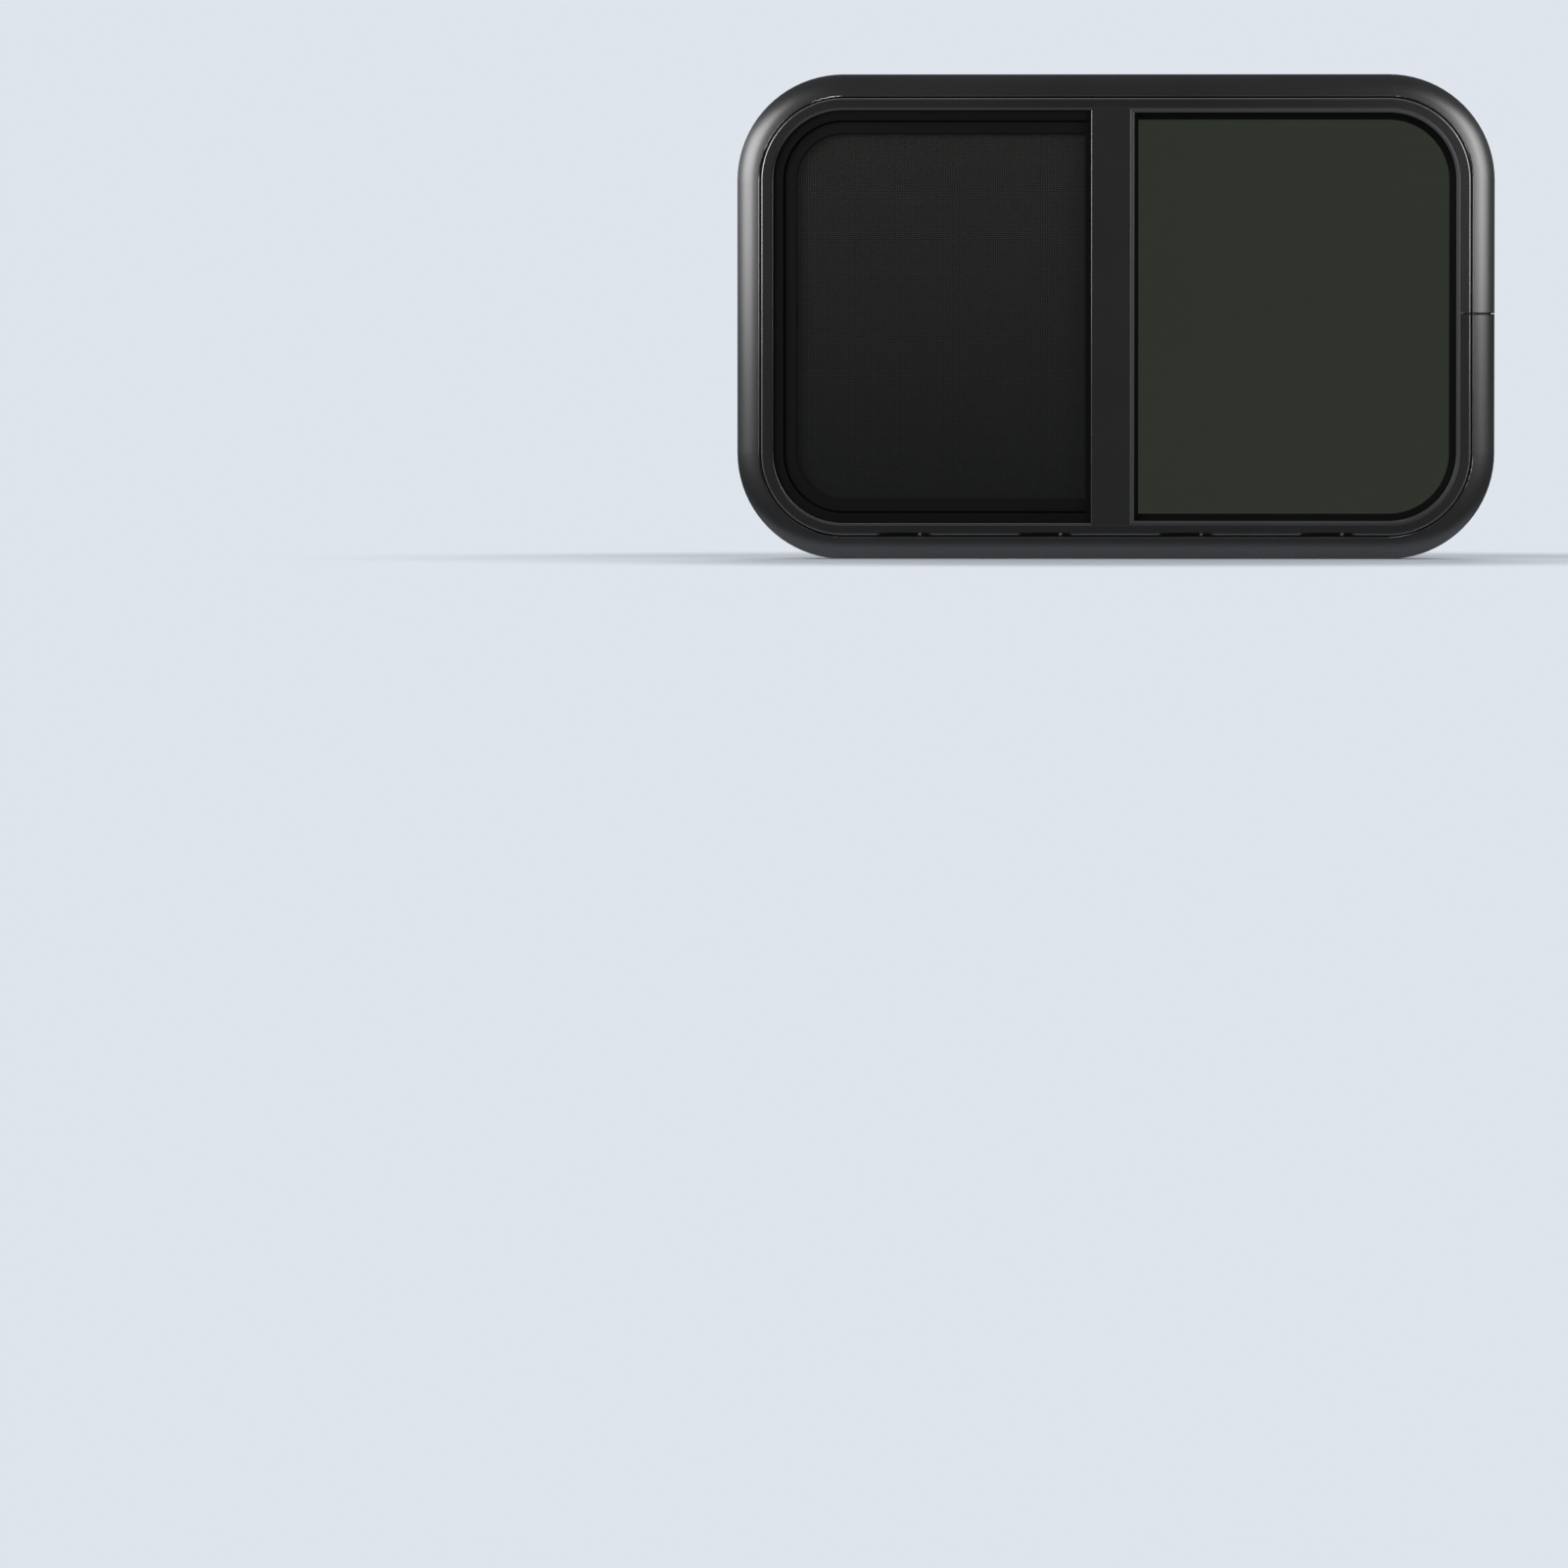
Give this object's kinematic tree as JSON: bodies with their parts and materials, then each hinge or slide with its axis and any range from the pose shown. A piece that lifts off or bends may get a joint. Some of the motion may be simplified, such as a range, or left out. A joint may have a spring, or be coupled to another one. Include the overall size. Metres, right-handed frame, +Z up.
{
  "type": "caravan window",
  "caption": "Horizontal sliding caravan window with a bent aluminium frame, rounded corners, a fixed tinted pane, a sliding pane behind an insect screen and an inner clamp ring.",
  "frame": {"origin": "on the flat back of the outer flange, at the middle of the lower edge of the wall's cut-out", "axes": "+X to the right as seen from outside, +Y from the outside through the wall to the inside, +Z up"},
  "size_m": [0.635, 0.0556, 0.4064],
  "materials": {
    "frame": "satin black powder coat",
    "seal": "soft grey sealing tape",
    "steel": "zinc-plated steel",
    "fixed_pane": "dark green tempered glass",
    "rubber": "matt black rubber",
    "bead": "satin charcoal glazing bead",
    "liner": "matt black plastic",
    "screen_frame": "matt black coating",
    "spline": "ribbed black cord",
    "mesh": "black woven mesh",
    "run": "flocked black rubber",
    "sliding_pane": "dark green tempered glass",
    "stile": "satin black powder coat",
    "pile": "short black pile",
    "latch_black": "moulded black nylon",
    "stop": "black rubber",
    "clamp": "satin black powder coat",
    "screw": "black-coated steel"
  },
  "bodies": {
    "root": {"outer_frame": "frame", "flange_seal": "seal", "splice_plate": "steel", "mullion": "frame", "mullion_screws": "steel", "fixed_glass": "fixed_pane", "fixed_gasket": "rubber", "perimeter_bead": "bead", "mullion_bead": "bead", "setting_blocks": "rubber", "screen_liner": "liner", "screen_frame": "screen_frame", "screen_spline": "spline", "insect_screen": "mesh", "glass_run": "run", "sliding_glass": "sliding_pane", "meeting_stile": "stile", "stile_gasket": "rubber", "pile_seal": "pile", "pull_rail": "latch_black", "latch_bracket": "steel", "latch_lever": "latch_black", "latch_pin": "steel", "latch_keeper": "steel", "sash_stops": "stop", "clamp_ring": "clamp", "clamp_screws": "screw"}
  },
  "joints": []
}
